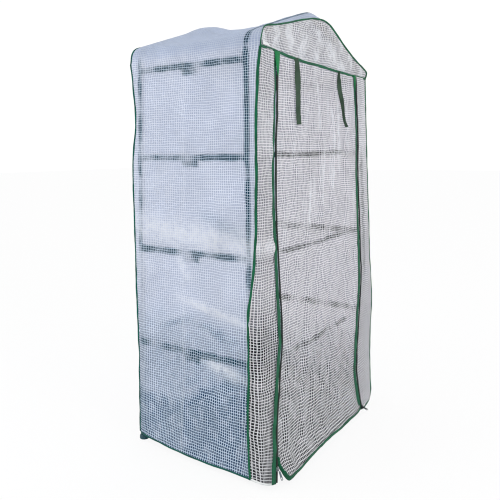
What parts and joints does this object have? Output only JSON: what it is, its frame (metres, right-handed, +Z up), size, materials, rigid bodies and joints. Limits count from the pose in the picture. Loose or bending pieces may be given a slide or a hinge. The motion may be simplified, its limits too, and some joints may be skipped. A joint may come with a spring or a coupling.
{
  "type": "mini pop up greenhouse",
  "caption": "Folding tube-frame mini greenhouse with wire shelves on hinged side rails and a zipped translucent cover with a roll-up door.",
  "frame": {"origin": "on the ground, at the centre of the whole object's footprint", "axes": "+Z up, -Y towards the front with the zipped door, -X towards the left side panel seen from the front as drawn in the picture"},
  "size_m": [0.917, 0.6238, 1.6099],
  "materials": {
    "frame_tube": "satin dark green-grey paint on steel tube",
    "rail_paint": "satin dark green-grey paint on flat-oval steel rail",
    "hinge_steel": "pressed steel channel with its lock block, painted as the rails",
    "foot_plastic": "moulded dark teal plastic, black sole",
    "shelf_wire": "plastic-coated steel wire",
    "cover_film": "translucent polythene with a woven white reinforcing grid",
    "binding": "green woven polyester binding",
    "ribbon": "grey-green woven tape",
    "zip_metal": "die-cast metal, nickel plated"
  },
  "bodies": {
    "rear_frame": {"rear_left_post": "frame_tube", "rear_right_post": "frame_tube", "rear_arch_tube": "frame_tube", "rear_left_foot": "foot_plastic", "rear_right_foot": "foot_plastic", "cover_roof": "cover_film", "cover_left_side": "cover_film", "cover_right_side": "cover_film", "cover_rear_panel": "cover_film"},
    "front_frame": {"front_left_post": "frame_tube", "front_right_post": "frame_tube", "front_arch_tube": "frame_tube", "front_left_foot": "foot_plastic", "front_right_foot": "foot_plastic", "cover_front_gable": "cover_film", "cover_front_left_strip": "cover_film", "cover_front_right_strip": "cover_film", "door_panel": "cover_film", "left_zip_tape": "binding", "right_zip_tape": "binding", "front_trim_band": "binding"},
    "door_hem": {"door_hem": "binding"},
    "shelf_1_rear_side": {"rail_1_left_rear_half": "rail_paint", "rail_1_right_rear_half": "rail_paint", "shelf_1_rear_half": "shelf_wire"},
    "shelf_1_latches": {"rail_1_left_latch_hinge": "hinge_steel", "rail_1_right_latch_hinge": "hinge_steel"},
    "shelf_1_front_side": {"rail_1_left_front_half": "rail_paint", "rail_1_right_front_half": "rail_paint", "shelf_1_front_half": "shelf_wire"},
    "shelf_2_rear_side": {"rail_2_left_rear_half": "rail_paint", "rail_2_right_rear_half": "rail_paint", "shelf_2_rear_half": "shelf_wire"},
    "shelf_2_latches": {"rail_2_left_latch_hinge": "hinge_steel", "rail_2_right_latch_hinge": "hinge_steel"},
    "shelf_2_front_side": {"rail_2_left_front_half": "rail_paint", "rail_2_right_front_half": "rail_paint", "shelf_2_front_half": "shelf_wire"},
    "shelf_3_rear_side": {"rail_3_left_rear_half": "rail_paint", "rail_3_right_rear_half": "rail_paint", "shelf_3_rear_half": "shelf_wire"},
    "shelf_3_latches": {"rail_3_left_latch_hinge": "hinge_steel", "rail_3_right_latch_hinge": "hinge_steel"},
    "shelf_3_front_side": {"rail_3_left_front_half": "rail_paint", "rail_3_right_front_half": "rail_paint", "shelf_3_front_half": "shelf_wire"},
    "shelf_4_rear_side": {"rail_4_left_rear_half": "rail_paint", "rail_4_right_rear_half": "rail_paint", "shelf_4_rear_half": "shelf_wire"},
    "shelf_4_latches": {"rail_4_left_latch_hinge": "hinge_steel", "rail_4_right_latch_hinge": "hinge_steel"},
    "shelf_4_front_side": {"rail_4_left_front_half": "rail_paint", "rail_4_right_front_half": "rail_paint", "shelf_4_front_half": "shelf_wire"},
    "left_zip_slider": {"left_zip_slider": "zip_metal"},
    "left_zip_pull": {"left_zip_pull": "zip_metal"},
    "right_zip_slider": {"right_zip_slider": "zip_metal"},
    "right_zip_pull": {"right_zip_pull": "zip_metal"},
    "left_tie_ribbon": {"left_tie_ribbon": "ribbon"},
    "right_tie_ribbon": {"right_tie_ribbon": "ribbon"}
  },
  "joints": [
    {"name": "frame_fold", "type": "hinge", "parent": "rear_frame", "child": "shelf_4_rear_side", "pos_m": [0, 0.25091, 1.373], "axis": [1, 0, 0], "range_deg": [0, 88]},
    {"name": "shelf_4_latch_rear_pin", "type": "hinge", "parent": "shelf_4_rear_side", "child": "shelf_4_latches", "pos_m": [0, 0.05291, 1.373], "axis": [-1, 0, 0], "range_deg": [0, 88]},
    {"name": "shelf_4_latch_front_pin", "type": "hinge", "parent": "shelf_4_latches", "child": "shelf_4_front_side", "pos_m": [0, 0.01291, 1.373], "axis": [-1, 0, 0], "range_deg": [0, 88]},
    {"name": "shelf_4_front_pivot", "type": "hinge", "parent": "shelf_4_front_side", "child": "front_frame", "pos_m": [0, -0.18508, 1.373], "axis": [1, 0, 0], "range_deg": [0, 88]},
    {"name": "shelf_1_rear_pivot", "type": "hinge", "parent": "rear_frame", "child": "shelf_1_rear_side", "pos_m": [0, 0.25091, 0.361], "axis": [1, 0, 0], "range_deg": [0, 88]},
    {"name": "shelf_1_latch_rear_pin", "type": "hinge", "parent": "shelf_1_rear_side", "child": "shelf_1_latches", "pos_m": [0, 0.05291, 0.361], "axis": [-1, 0, 0], "range_deg": [0, 88]},
    {"name": "shelf_1_latch_front_pin", "type": "hinge", "parent": "shelf_1_latches", "child": "shelf_1_front_side", "pos_m": [0, 0.01291, 0.361], "axis": [-1, 0, 0], "range_deg": [0, 88]},
    {"name": "shelf_2_rear_pivot", "type": "hinge", "parent": "rear_frame", "child": "shelf_2_rear_side", "pos_m": [0, 0.25091, 0.706], "axis": [1, 0, 0], "range_deg": [0, 88]},
    {"name": "shelf_2_latch_rear_pin", "type": "hinge", "parent": "shelf_2_rear_side", "child": "shelf_2_latches", "pos_m": [0, 0.05291, 0.706], "axis": [-1, 0, 0], "range_deg": [0, 88]},
    {"name": "shelf_2_latch_front_pin", "type": "hinge", "parent": "shelf_2_latches", "child": "shelf_2_front_side", "pos_m": [0, 0.01291, 0.706], "axis": [-1, 0, 0], "range_deg": [0, 88]},
    {"name": "shelf_3_rear_pivot", "type": "hinge", "parent": "rear_frame", "child": "shelf_3_rear_side", "pos_m": [0, 0.25091, 1.043], "axis": [1, 0, 0], "range_deg": [0, 88]},
    {"name": "shelf_3_latch_rear_pin", "type": "hinge", "parent": "shelf_3_rear_side", "child": "shelf_3_latches", "pos_m": [0, 0.05291, 1.043], "axis": [-1, 0, 0], "range_deg": [0, 88]},
    {"name": "shelf_3_latch_front_pin", "type": "hinge", "parent": "shelf_3_latches", "child": "shelf_3_front_side", "pos_m": [0, 0.01291, 1.043], "axis": [-1, 0, 0], "range_deg": [0, 88]},
    {"name": "door_roll_up", "type": "slide", "parent": "front_frame", "child": "door_hem", "axis": [0, 0.0402, 0.9992], "range_m": [0, 1.2], "deforming": ["door_panel"]},
    {"name": "left_zip_travel", "type": "slide", "parent": "front_frame", "child": "left_zip_slider", "axis": [0, 0.0402, 0.9992], "range_m": [0, 1.3]},
    {"name": "left_zip_pull_hinge", "type": "hinge", "parent": "left_zip_slider", "child": "left_zip_pull", "pos_m": [-0.333, -0.31032, 0.0365], "axis": [-1, 0, 0], "range_deg": [0, 150]},
    {"name": "right_zip_travel", "type": "slide", "parent": "front_frame", "child": "right_zip_slider", "axis": [0, 0.0402, 0.9992], "range_m": [0, 1.3]},
    {"name": "right_zip_pull_hinge", "type": "hinge", "parent": "right_zip_slider", "child": "right_zip_pull", "pos_m": [0.333, -0.31032, 0.0365], "axis": [-1, 0, 0], "range_deg": [0, 150]},
    {"name": "left_ribbon_lift", "type": "hinge", "parent": "front_frame", "child": "left_tie_ribbon", "pos_m": [-0.165, -0.25039, 1.378], "axis": [-1, 0, 0], "range_deg": [0, 80]},
    {"name": "right_ribbon_lift", "type": "hinge", "parent": "front_frame", "child": "right_tie_ribbon", "pos_m": [0.195, -0.25039, 1.378], "axis": [-1, 0, 0], "range_deg": [0, 80]}
  ],
  "couplings": [
    {"joint": "shelf_4_latch_rear_pin", "follows": "frame_fold", "ratio": 1},
    {"joint": "shelf_4_latch_front_pin", "follows": "frame_fold", "ratio": 1},
    {"joint": "shelf_4_front_pivot", "follows": "frame_fold", "ratio": 1},
    {"joint": "shelf_1_rear_pivot", "follows": "frame_fold", "ratio": 1},
    {"joint": "shelf_1_latch_rear_pin", "follows": "frame_fold", "ratio": 1},
    {"joint": "shelf_1_latch_front_pin", "follows": "frame_fold", "ratio": 1},
    {"joint": "shelf_2_rear_pivot", "follows": "frame_fold", "ratio": 1},
    {"joint": "shelf_2_latch_rear_pin", "follows": "frame_fold", "ratio": 1},
    {"joint": "shelf_2_latch_front_pin", "follows": "frame_fold", "ratio": 1},
    {"joint": "shelf_3_rear_pivot", "follows": "frame_fold", "ratio": 1},
    {"joint": "shelf_3_latch_rear_pin", "follows": "frame_fold", "ratio": 1},
    {"joint": "shelf_3_latch_front_pin", "follows": "frame_fold", "ratio": 1}
  ]
}
